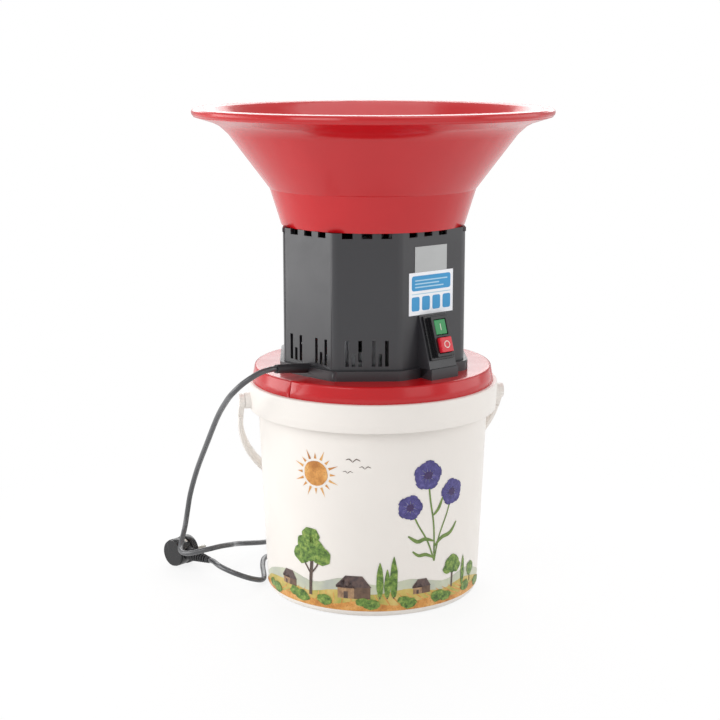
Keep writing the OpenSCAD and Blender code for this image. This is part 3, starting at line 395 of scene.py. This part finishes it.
# Points of the stretch from the head to the coil, and of the one from the coil to the plug
LEAD = [(-137.1, -131.3, 302.7), (-154.6, -135.1, 292.3), (-169.1, -126.5, 277.5), (-179.2, -98.9, 259.9),
        (-191.9, -60.2, 232.2), (-209.1, -9.7, 185.5), (-225.8, 38.2, 138.4), (-236.9, 62.2, 99.9),
        (-241.9, 71.3, 74.3), (-245.4, 66.1, 53.4), (-249, 51.5, 38.1), (-249.4, 34.9, 32.1),
        (-243.1, 19.5, 32), (-230.6, 8.7, 36.2), (-212.8, 6, 41.2), (-194.2, 13.7, 43.1),
        (-182.2, 31.5, 39.1), (-181, 64, 28.8), (-172.7, 87.5, 21.7), (-145.9, 117.3, 13),
        (-135.1, 143.7, 6.3), (-126.5, 166.4, 4.4), (-106.9, 191.9, 4), (-83.9, 215.9, 3.6),
        (-66, 234, 3.6), (-50, 245, 3.9)]
TAIL = [(-60, 157, 6), (-84, 148, 3.7), (-109.9, 124.9, 3.7), (-129.6, 94.4, 4.2), (-141.2, 74.3, 5.5),
        (-142.9, 47.1, 5.1), (-140.3, -0.9, 3.7), (-153.3, -23.1, 11.3), (-175.5, -26.9, 20.4),
        (-194.7, -12.6, 24.6), (-205.8, 20.5, 20.1)]
# The coil: its middle, its whole angle in degrees, its outer radius and the step from turn to turn
COIL_MIDDLE = Vector((-20, 205, 0))
COIL_TOTAL = 1260
COIL_R = 45
COIL_PITCH = 7.4
# The plug, which lies on the floor: its radii, its boot's length and the way its pins point
PLUG_R = 18.5
PLUG_WAIST_R = 17.15
BOOT_LEN = 38
PLUG_TURN = math.radians(45.6)
PLUG_DIR = Vector((math.cos(PLUG_TURN), math.sin(PLUG_TURN), 0))
BOOT_DIR = Vector((math.sin(PLUG_TURN), -math.cos(PLUG_TURN), 0))
PLUG_MIDDLE = Vector((-252, 70, PLUG_R))


def coil_point(a):
    """Point at an angle of the coil, which winds inward on the floor, climbs a layer and winds outward."""
    r = COIL_R - COIL_PITCH * min(a, COIL_TOTAL - a) / 360
    climb = max(0, min(1, (a - COIL_TOTAL / 2 + 90) / 180))
    turn = math.radians(a)
    return COIL_MIDDLE + Vector((r * math.sin(turn), r * math.cos(turn), CORD_R + COIL_PITCH * climb))


def spline(a, b, c, d, t):
    """Point at t of the way from b to c, on a smooth curve that goes on through a and d."""
    return 0.5 * (2 * b + (c - a) * t + (2 * a - 5 * b + 4 * c - d) * t ** 2
                  + (3 * b - a - 3 * c + d) * t ** 3)


def through(points, step):
    """The same smooth curve as the solids' route, in finer steps."""
    out = []
    last = len(points) - 1
    for i in range(last):
        a, b = points[max(i - 1, 0)], points[i]
        c, d = points[i + 1], points[min(i + 2, last)]
        count = max(1, round((c - b).length / step))
        out += [spline(a, b, c, d, k / count) for k in range(count)]
    return out + [points[last]]


def lead_line():
    """The lead's middle line, from the strain relief to the plug's boot."""
    coil = [coil_point(a) for a in range(0, COIL_TOTAL + 1, 6)]
    coil_in = coil[0] - Vector((2 * CORD_R, 0, 0))
    coil_out = coil[-1] - Vector((2 * CORD_R, 0, 0))
    boot_end = PLUG_MIDDLE + BOOT_DIR * (PLUG_R + BOOT_LEN)
    past_gland = GLAND_TIP + GLAND_DIR * (2 * CORD_R)
    past_coil = coil_out - Vector((4 * CORD_R, 0, 0))
    lead = through([GLAND_TIP, past_gland] + [Vector(p) for p in LEAD] + [coil_in], 4)
    tail = through([coil_out, past_coil] + [Vector(p) for p in TAIL] + [boot_end], 4)
    return lead + coil + tail


def sweep(name, line, radius, material, sides=20):
    """Round tube along a line in millimetres, with a map of metres along and around it."""
    count = len(line)
    heading = [(line[min(i + 1, count - 1)] - line[max(i - 1, 0)]).normalized() for i in range(count)]
    side = heading[0].orthogonal().normalized()
    verts, faces, along, run = [], [], [], 0.0
    for i, (point, way) in enumerate(zip(line, heading)):
        side = (side - way * side.dot(way)).normalized()
        up = way.cross(side)
        run += (point - line[i - 1]).length * MM if i else 0
        for k in range(sides):
            turn = 2 * math.pi * k / sides
            verts.append((point + radius * (math.cos(turn) * side + math.sin(turn) * up)) * MM)
            along.append((run, k / sides))
    for i in range(count - 1):
        for k in range(sides):
            a, b = i * sides + k, i * sides + (k + 1) % sides
            faces.append((a, b, b + sides, a + sides))
    faces += [list(range(sides))[::-1], list(range((count - 1) * sides, count * sides))]
    piece = add_mesh(name, verts, faces, material)
    layer = piece.data.uv_layers.new(name="run")
    for loop in piece.data.loops:
        u, v = along[loop.vertex_index]
        layer.data[loop.index].uv = (u, v * 2 * math.pi * radius * MM)
    return piece


def build_lead():
    """The lead as one piece from the strain relief to the plug, with its tie and the plug's painted
    highlight.
    """
    line = lead_line()
    lead = sweep("mains_lead", line, CORD_R, MATERIALS["cord_sheath"])
    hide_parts("cord_lead", "cord_coil", "cord_tail")
    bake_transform(lead)
    tie = build_tie()
    # A painted highlight over the top of the plug.
    build_plug_highlight()


def build_plug_highlight():
    """Painted highlight: a pale strip over the top of the plug's waist, where light falls on it."""
    # The painted highlight's span along the plug in millimetres, and its reach and step round the top in
    # degrees
    band = (0.8, 3.6)
    reach, step = 35, 5
    verts = []
    for angle in range(-reach, reach + 1, step):
        turn = math.radians(angle)
        rim = PLUG_MIDDLE + PLUG_WAIST_R * (math.cos(turn) * Vector((0, 0, 1)) - math.sin(turn) * BOOT_DIR)
        verts += [(rim + along * PLUG_DIR) * MM for along in band]
    faces = [(i, i + 1, i + 3, i + 2) for i in range(0, len(verts) - 2, 2)]
    return finish_piece(add_mesh("plug_painted_highlight", verts, faces, MATERIALS["white_plastic"]), "bucket")


def build_tie():
    """Hook-and-loop strap round the turns of the coil, towards its left."""
    half_width = 6
    turn = Matrix.Translation(COIL_MIDDLE) @ Matrix.Rotation(math.radians(50), 4, "Z")
    mid = Vector((0, 38.5, 0))
    outer = [Vector((0, 9, 2.2)), Vector((0, 11.2, 7)), Vector((0, 8, 15.2)), Vector((0, -8, 15.4)),
             Vector((0, -11.4, 11)), Vector((0, -11.4, 3)), Vector((0, -8, 1.8)), Vector((0, 5, 1.8))]
    loop = []
    for i, b in enumerate(outer):
        a, c, d = outer[i - 1], outer[(i + 1) % len(outer)], outer[(i + 2) % len(outer)]
        loop += [spline(a, b, c, d, k / 6) for k in range(6)]
    verts, faces = [], []
    count = len(loop)
    for p in loop:
        for dx in (-half_width, half_width):
            verts.append((turn @ (mid + p + Vector((dx, 0, 0)))) * MM)
    for i in range(count):
        a, b = 2 * i, 2 * ((i + 1) % count)
        faces.append((a, a + 1, b + 1, b))
    tie = add_mesh("coil_tie", verts, faces, MATERIALS["black_rubber"])
    thick = tie.modifiers.new("thickness", "SOLIDIFY")
    thick.thickness = 0.9 * MM
    return finish_piece(tie, "bucket")


# ---------- CAD nodes: materials and softened edges ----------

# Width of the softened edges, in millimetres; a node that isn't named keeps its edges sharp
EDGES = {"bucket": 0.5, "lid": 0.5, "housing": 0.5, "hopper": 0.8, "feed_gate": 0.4,
         "switch_body": 0.7, "on_button": 0.9, "off_button": 0.9, "plug_boot": 0.3, "plug_body": 0.7,
         "plug_pins": 0.6, "strain_relief": 0.4, "blade": 0.4, "wing_nuts": 0.4,
         "chamber": 0.5, "motor_base": 0.4, "motor_cage": 0.4, "terminal_block": 0.4, "feed_chute": 0.3}

# Nodes with wide flat faces between holes, whose shading follows the larger faces
EVEN_SHADING = ("hopper", "feed_gate")
# Degrees between two faces: below the first they count as one, above the second their edge is softened
FLAT_BELOW = 0.5
SOFT_ABOVE = 28


def dress_nodes():
    """Materials and modifiers on the CAD nodes; their meshes stay as they are."""
    for name, node in NODES.items():
        slot = node.data.materials[0].name.split(".")[0]
        node.material_slots[0].material = MATERIALS[slot]
        weld = node.modifiers.new("weld", "WELD")
        weld.merge_threshold = 0.01 * MM
        if name in EVEN_SHADING:
            flat = node.modifiers.new("flat_faces", "DECIMATE")
            flat.decimate_type = "DISSOLVE"
            flat.angle_limit = math.radians(FLAT_BELOW)
        if name in EDGES:
            bevel = node.modifiers.new("edges", "BEVEL")
            bevel.width = EDGES[name] * MM
            bevel.segments = 2
            bevel.limit_method = "ANGLE"
            bevel.angle_limit = math.radians(SOFT_ABOVE)
            bevel.harden_normals = name not in EVEN_SHADING
        if name in EVEN_SHADING:
            even = node.modifiers.new("even_shading", "WEIGHTED_NORMAL")
            even.weight = 100
            even.keep_sharp = False


# ---------- bucket print ----------

# In millimetres: the body's radius at its foot, what it gains over which height, the radius that the print
# is laid out for, how far the lowest layer stands off the body, and the step from layer to layer
FOOT_R = 134
TAPER = 11
TAPER_H = 268
BODY_R = 137.5
FIRST_LIFT = 0.12
LAYER_LIFT = 0.06


def on_bucket(verts, lift):
    """Wraps flat millimetres round the bucket's body, with its taper."""
    out = []
    for v in verts:
        turn = v.x / BODY_R
        r = FOOT_R + TAPER * v.y / TAPER_H + lift
        out.append(Vector((r * math.sin(turn), -r * math.cos(turn), v.y)) * MM)
    return out


def print_on_bucket(name, shapes, layer, material):
    """One layer of the print; a higher layer covers a lower one."""
    verts, faces = flat_shapes(shapes, 5.0)
    piece = add_mesh(name, on_bucket(verts, FIRST_LIFT + LAYER_LIFT * layer), faces, material, smooth=False)
    return finish_piece(piece, "bucket")


def hill(left, right, low, tops):
    """Band between two ends whose top edge goes through (place, height) pairs and thins out at both ends."""
    points = [Vector((x, z, 0)) for x, z in tops]
    line = through(points, 3)
    edge = [(p.x, p.y + 0.5 * noise.noise(Vector((p.x * 0.35, 3.7, 0)))) for p in line]
    return [(left, low)] + edge + [(right, low)]


def blob(c, r, squash=1.0, rough=0.12, seed=0.0, steps=44):
    """Outline of an uneven round, such as a tree's crown."""
    out = []
    for i in range(steps):
        a = 2 * math.pi * i / steps
        k = 1 + rough * 2.2 * noise.noise(Vector((2.6 * math.cos(a) + seed, 2.6 * math.sin(a), seed * 1.7)))
        k += rough * 0.5 * noise.noise(Vector((9 * math.cos(a) + seed, 9 * math.sin(a), seed)))
        out.append((c[0] + r * k * math.cos(a), c[1] + r * k * squash * math.sin(a)))
    return out


def poplar(x, foot, height, width, seed):
    """Outline of a tall narrow tree."""
    out = []
    for side in (1, -1):
        for i in range(20):
            t = i / 19 if side == 1 else 1 - i / 19
            w = width / 2 * math.sin(math.pi * min(1, t * 0.94 + 0.06)) ** 0.6 * (1 - 0.35 * t)
            w *= 1 + 0.3 * noise.noise(Vector((t * 7, side * 3 + seed, 0)))
            out.append((x + side * max(w, 0.2), foot + height * t))
    return out


def stroke(points, width, taper=True):
    """Outline of a brush stroke along a curve."""
    line = through([Vector((x, y, 0)) for x, y in points], 2.5)
    left, right = [], []
    for i, p in enumerate(line):
        way = (line[min(i + 1, len(line) - 1)] - line[max(i - 1, 0)]).normalized()
        across = Vector((-way.y, way.x, 0))
        w = width / 2 * ((0.35 + 0.65 * math.sin(math.pi * i / (len(line) - 1))) if taper else 1)
        left.append((p.x + across.x * w, p.y + across.y * w))
        right.append((p.x - across.x * w, p.y - across.y * w))
    return left + right[::-1]


def barn(x, foot, width, height, roof):
    """Wall, roof, and door or window of a small gabled barn."""
    wall = [(x - width / 2, foot), (x + width / 2, foot), (x + width / 2, foot + height),
            (x, foot + height + roof), (x - width / 2, foot + height)]
    over = width * 0.1
    top = [(x - width / 2 - over, foot + height - over * 0.8), (x, foot + height + roof + 0.8),
           (x + width / 2 + over, foot + height - over * 0.8), (x + width / 2 + over, foot + height + 1.2),
           (x, foot + height + roof + 3.4), (x - width / 2 - over, foot + height + 1.2)]
    side = [(x + width / 2, foot), (x + width * 1.45, foot), (x + width * 1.45, foot + height),
            (x + width / 2, foot + height)]
    slope = [(x + 0.3, foot + height + roof + 3.2), (x + width * 0.98, foot + height + roof + 3.2),
             (x + width * 1.52, foot + height - 0.4), (x + width / 2 + over, foot + height - 0.4)]
    door = [(x - width * 0.13, foot), (x + width * 0.13, foot), (x + width * 0.13, foot + height * 0.6),
            (x - width * 0.13, foot + height * 0.6)]
    return wall, top, side, slope, door


def petal(c, turn, inner, outer, width):
    """Trumpet petal with a notched tip."""
    ca, sa = math.cos(turn), math.sin(turn)
    shape = [(inner, -0.6), (outer * 0.6, -width * 0.3), (outer * 0.93, -width * 0.5),
             (outer * 0.86, -width * 0.2), (outer, 0), (outer * 0.86, width * 0.2),
             (outer * 0.93, width * 0.5), (outer * 0.6, width * 0.3), (inner, 0.6)]
    return [(c[0] + a * ca - b * sa, c[1] + a * sa + b * ca) for a, b in shape]


def build_print():
    """The bucket's generic design: a sun, birds, flowers, trees and barns over a field."""
    ochre = printed("ink_ochre", [(0.3, (176, 112, 48)), (0.5, (214, 152, 78)), (0.68, (232, 186, 118))], 55,
                    fleck=(420, (150, 92, 40), 0.45))
    field = printed("ink_field", [(0.3, (150, 160, 78)), (0.5, (196, 174, 92)), (0.7, (214, 190, 120))], 40)
    haze = printed("ink_haze", [(0.3, (176, 180, 170)), (0.55, (196, 200, 176)), (0.75, (206, 204, 196))], 26)
    leaf = printed("ink_leaf", [(0.32, (56, 84, 34)), (0.5, (104, 138, 58)), (0.66, (150, 172, 84))], 190,
                   fleck=(520, (44, 62, 26), 0.5))
    stem = printed("ink_stem", [(0.3, (84, 112, 52)), (0.7, (124, 148, 76))], 120)
    bark = printed("ink_bark", [(0.3, (58, 46, 42)), (0.6, (98, 80, 70))], 240)
    wall = printed("ink_wall", [(0.3, (128, 98, 74)), (0.6, (172, 138, 104)), (0.8, (190, 158, 122))], 150)
    wall_dark = printed("ink_wall_dark", [(0.3, (84, 64, 52)), (0.7, (120, 94, 76))], 150)
    roof = printed("ink_roof", [(0.3, (66, 54, 56)), (0.55, (92, 74, 70)), (0.8, (118, 94, 82))], 220)
    indigo = printed("ink_indigo", [(0.3, (58, 52, 108)), (0.55, (78, 72, 134)), (0.75, (108, 102, 164))],
                     240)
    heart = printed("ink_heart", [(0.3, (44, 32, 74)), (0.7, (72, 50, 104))], 500)

    haze_top = [(-190, 24), (-160, 38), (-120, 46), (-80, 40), (-40, 50), (0, 42), (45, 47), (90, 38),
                (130, 44), (165, 34), (190, 23)]
    print_on_bucket("print_haze", [hill(-190, 190, 20, haze_top)], 0, haze)
    field_top = [(-198, 12), (-170, 26), (-130, 31), (-90, 27), (-50, 34), (-5, 30), (40, 35), (85, 27),
                 (125, 32), (165, 24), (198, 12)]
    print_on_bucket("print_fields", [hill(-198, 198, 9, field_top)], 1, field)
    rows = [stroke([(x, 11 + abs(math.sin(x)) * 2), (x * 0.86 - 3, 21), (x * 0.78 - 8, 30)], 1.5)
            for x in range(-150, 160, 13)]
    ground_top = [(-204, 10), (-175, 17), (-140, 14), (-105, 20), (-60, 15), (-20, 21), (25, 15), (70, 20),
                  (110, 14), (150, 19), (180, 14), (204, 10)]
    print_on_bucket("print_ground", [hill(-204, 204, 8.3, ground_top)] + rows, 3, ochre)

    barns = [barn(-38, 24, 21, 15, 11), barn(52, 27, 12, 9, 6.5), barn(-128, 27, 13, 9, 7)]
    print_on_bucket("print_barn_walls", [b[0] for b in barns], 4, wall)
    print_on_bucket("print_barn_sides", [b[2] for b in barns], 4, wall_dark)
    print_on_bucket("print_barn_roofs", [b[1] for b in barns] + [b[3] for b in barns], 5, roof)
    print_on_bucket("print_barn_doors", [b[4] for b in barns], 5, bark)

    trunks = [stroke([(-86, 22), (-85, 44), (-83, 66)], 4.4, False),
              stroke([(-84, 48), (-92, 60), (-97, 68)], 2, False),
              stroke([(-84, 50), (-76, 60), (-72, 70)], 2, False),
              stroke([(104, 26), (104.5, 40), (104, 50)], 2.6, False),
              stroke([(146, 22), (146, 34)], 2, False)]
    trunks += [stroke([(x, 24), (x, 34)], 1.6, False) for x in (4, 13, 21, 126)]
    print_on_bucket("print_trunks", trunks, 6, bark)
    crowns = [blob(c, r, q, 0.13, s) for c, r, q, s in (
        ((-85, 82), 19, 0.86, 1.0), ((-99, 72), 12, 0.85, 2.0), ((-70, 73), 12.5, 0.85, 3.0),
        ((-84, 98), 12, 0.8, 4.0), ((104, 57), 12, 0.95, 5.0), ((96, 51), 7, 0.9, 6.0),
        ((112, 51), 7.5, 0.9, 7.0), ((146, 40), 9, 0.9, 8.0))]
    print_on_bucket("print_crowns_back", crowns[1:3] + crowns[5:7], 7, leaf)
    print_on_bucket("print_crowns", [crowns[0], crowns[3], crowns[4], crowns[7]], 8, leaf)
    print_on_bucket("print_poplars", [poplar(4, 27, 44, 10, 1), poplar(21, 26, 52, 11, 2),
                                      poplar(126, 24, 38, 8, 3)], 8, leaf)
    print_on_bucket("print_poplar_mid", [poplar(13, 26, 36, 8.5, 4)], 9, leaf)
    bushes = [blob((x, z), r, 0.62, 0.16, x * 0.1) for x, z, r in (
        (-166, 17, 8), (-150, 15, 10), (-112, 21, 9), (-100, 18, 11), (-66, 19, 10), (-18, 20, 8),
        (-6, 17, 10), (34, 21, 8), (40, 17, 10), (82, 20, 11), (94, 17, 9), (134, 20, 10),
        (168, 16, 9), (180, 14, 7))]
    print_on_bucket("print_bushes", bushes[::2], 10, leaf)
    print_on_bucket("print_bushes_front", bushes[1::2], 11, leaf)

    sun = (-74, 178)
    rays = []
    for i in range(16):
        a = 2 * math.pi * i / 16
        reach = 31 if i % 2 else 26
        rays.append([(sun[0] + 18.5 * math.cos(a - 0.09), sun[1] + 18.5 * math.sin(a - 0.09)),
                     (sun[0] + reach * math.cos(a), sun[1] + reach * math.sin(a)),
                     (sun[0] + 18.5 * math.cos(a + 0.09), sun[1] + 18.5 * math.sin(a + 0.09))])
    print_on_bucket("print_sun", [blob(sun, 15.5, 1.0, 0.02, 9.0, 60)] + rays, 2, ochre)
    birds = []
    for x, z, s in ((-28, 196, 1.0), (-14, 188, 0.8), (-34, 182, 0.7)):
        birds += [stroke([(x - 8 * s, z + 2.4 * s), (x - 4 * s, z + 4 * s), (x, z)], 1.3 * s),
                  stroke([(x, z), (x + 4.4 * s, z + 4 * s), (x + 9 * s, z + 1.6 * s)], 1.3 * s)]
    print_on_bucket("print_birds", birds, 2, bark)

    flowers = [((62, 176), 19, 0.2), ((98, 150), 17, 0.5), ((40, 138), 16, 0.0)]
    root = (74, 66)
    stems = [stroke([root, (72, 110), (66, 145), flowers[0][0]], 2.2, False),
             stroke([root, (80, 96), (92, 126), flowers[1][0]], 2.0, False),
             stroke([root, (64, 92), (50, 116), flowers[2][0]], 2.0, False)]
    leaves = [stroke([(73, 84), (84, 94), (98, 98), (108, 110)], 5),
              stroke([(72, 92), (60, 96), (50, 94), (38, 102)], 5),
              stroke([(70, 124), (78, 132), (84, 146)], 4),
              stroke([(74, 70), (62, 76), (52, 76), (44, 82)], 4.4)]
    print_on_bucket("print_stems", stems, 2, stem)
    print_on_bucket("print_leaves", leaves, 3, stem)
    petals, inner_petals = [], []
    for c, r, turn in flowers:
        petals += [petal(c, turn + 2 * math.pi * i / 10, 3, r, r * 0.62) for i in range(0, 10, 2)]
        inner_petals += [petal(c, turn + 2 * math.pi * (i + 1) / 10, 3, r * 0.92, r * 0.6)
                         for i in range(0, 10, 2)]
    print_on_bucket("print_petals", petals, 4, indigo)
    print_on_bucket("print_petals_over", inner_petals, 5, indigo)
    print_on_bucket("print_hearts", [blob(c, r * 0.27, 1.0, 0.15, r) for c, r, _ in flowers], 6, heart)


# ---------- switch marks and label shapes ----------

# The housing's side that carries the console: its turn, its distance from the axis and its foot's height
SIDE_TURN = Matrix.Rotation(math.radians(37), 4, "Z")
SIDE_DIST = 104.7
HOUSING_FOOT = 288
# The console's sloping face: its middle, how far its foot and top stand out, and their heights
CONSOLE_MIDDLE = (5.5, 11.75, 44.2)
CONSOLE_SLOPE = math.atan((22 - 1.5) / (75.4 - 13))
SWITCH = (SIDE_TURN @ Matrix.Translation((CONSOLE_MIDDLE[0], -SIDE_DIST - CONSOLE_MIDDLE[1],
                                          HOUSING_FOOT + CONSOLE_MIDDLE[2]))
          @ Matrix.Rotation(-CONSOLE_SLOPE, 4, "X") @ Matrix.Translation((1, 0, 4)))
SWITCH_SIDE = SIDE_TURN @ Matrix.Translation((0, -SIDE_DIST, HOUSING_FOOT))
# How far the buttons' middles lie above and below that of the plate, and their marks stand out of it
BUTTON_Z = 11
ON_MARK_OUT = 8.56
OFF_MARK_OUT = 14.06


def stuck_on(name, shapes, place, out, body, material):
    """Flat shapes on a face: X runs along it, Z up it, and they stand out of it by out."""
    verts, faces = flat_shapes(shapes)
    placed = [place @ Vector((v.x, -out, v.y)) * MM for v in verts]
    return finish_piece(add_mesh(name, placed, faces, material, smooth=False), body)


def rounded(x, z, w, h, r):
    """Outline of a box with rounded corners."""
    out = []
    for cx, cz, start in ((x + w - r, z + r, -90), (x + w - r, z + h - r, 0),
                          (x + r, z + h - r, 90), (x + r, z + r, 180)):
        out += [(cx + r * math.cos(math.radians(start + a)), cz + r * math.sin(math.radians(start + a)))
                for a in (0, 30, 60, 90)]
    return out


def ring_shapes(r, inner, steps=40):
    """A flat ring in as many pieces as it has steps."""
    out, inn = circle(r, steps), circle(inner, steps)
    return [[out[i], out[(i + 1) % steps], inn[(i + 1) % steps], inn[i]] for i in range(steps)]


def build_marks():
    """The buttons' line and ring, and the sticker's plain shapes."""
    white = MATERIALS["white_plastic"]
    on_mark = SWITCH @ Matrix.Translation((0, 0, BUTTON_Z))
    off_mark = SWITCH @ Matrix.Translation((0, 0, -BUTTON_Z))
    stuck_on("on_mark", [rounded(-0.5, -4, 1.0, 8, 0.3)], on_mark, ON_MARK_OUT, "on_button",
             white)
    stuck_on("off_mark", ring_shapes(4.4, 3.4), off_mark, OFF_MARK_OUT, "off_button", white)
    blue = label_film("label_blue", (58, 150, 204))
    pale = label_film("label_pale", (168, 208, 230))
    # The sticker's lower left corner on the side, and how far its two prints stand out
    x, z = 4 - 34.5, 75.6
    first, second = 0.45, 0.5
    stuck_on("label_blocks", [rounded(x + 4, z + 29, 61, 18, 3)]
             + [rounded(x + 4 + 16.2 * i, z + 5, 12.4, 17, 2.4) for i in range(4)],
             SWITCH_SIDE, first, "mill_head", blue)
    stuck_on("label_bars", [rounded(x + 9, z + 40.5, 51, 1.6, 0.7), rounded(x + 9, z + 36.5, 38, 1.6, 0.7),
                            rounded(x + 9, z + 32.5, 45, 1.6, 0.7), rounded(x + 4, z + 24.8, 61, 0.9, 0.4)],
             SWITCH_SIDE, second, "mill_head", pale)


dress_nodes()
build_lead()
build_print()
build_marks()
